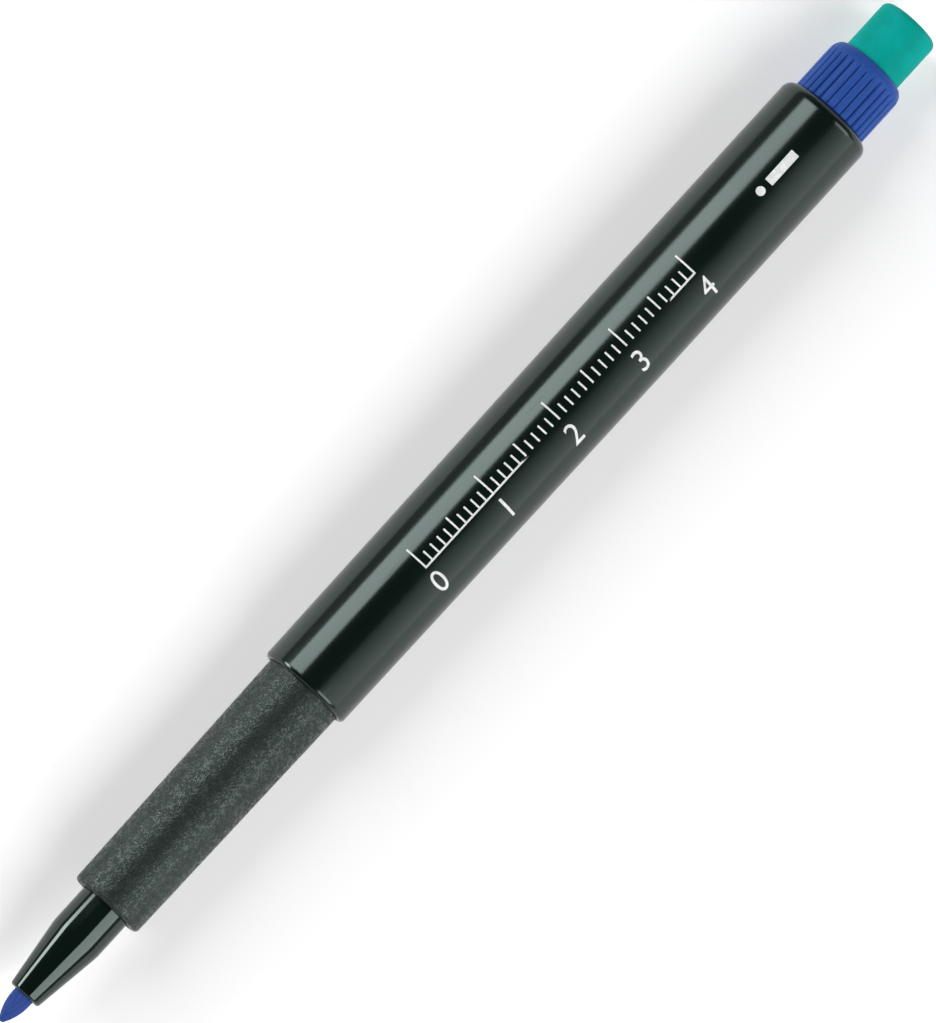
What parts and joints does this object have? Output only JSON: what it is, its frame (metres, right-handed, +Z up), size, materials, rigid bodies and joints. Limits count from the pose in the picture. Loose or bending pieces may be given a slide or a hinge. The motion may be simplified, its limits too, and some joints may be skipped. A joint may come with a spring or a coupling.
{
  "type": "permanent marker",
  "caption": "Permanent marker without its cap: bullet nib, tapered nose, textured grip, gloss barrel, and an eraser in a fluted end piece that turns and draws out.",
  "frame": {"origin": "middle of the pen's length, straight below its axis, on the surface that it lies on", "axes": "+X along the pen's axis from the nib to the eraser, +Y across it, +Z up"},
  "size_m": [0.136, 0.0108, 0.0107],
  "materials": {
    "nib": "bonded fibre, soaked with blue ink, matt",
    "front_section": "black, polished",
    "grip": "charcoal, fine eroded grain with a soft sheen",
    "barrel": "black, polished",
    "film": "thin clear film, glossy",
    "fibre": "polyester fibre wad, soaked with blue ink",
    "stopper": "natural milky plastic, satin",
    "holder": "blue, satin gloss, fluted",
    "eraser": "turquoise soft rubber, satin matt"
  },
  "bodies": {
    "pen_body": {"front_section": "front_section", "grip_sleeve": "grip", "barrel": "barrel", "reservoir_wrap": "film", "reservoir_fibre": "fibre"},
    "nib": {"nib": "nib"},
    "stopper": {"inner_stopper": "stopper"},
    "holder": {"eraser_holder": "holder"},
    "eraser": {"eraser": "eraser"}
  },
  "joints": [
    {"name": "nib_draw", "type": "slide", "parent": "pen_body", "child": "nib", "axis": [-1, 0, 0], "range_m": [0, 0.028]},
    {"name": "stopper_draw", "type": "slide", "parent": "pen_body", "child": "stopper", "axis": [1, 0, 0], "range_m": [0, 0.02]},
    {"name": "holder_turn", "type": "hinge", "parent": "stopper", "child": "holder", "pos_m": [0.05, 0, 0.00535], "axis": [1, 0, 0], "continuous": true},
    {"name": "eraser_draw", "type": "slide", "parent": "holder", "child": "eraser", "axis": [1, 0, 0], "range_m": [0, 0.01]}
  ]
}
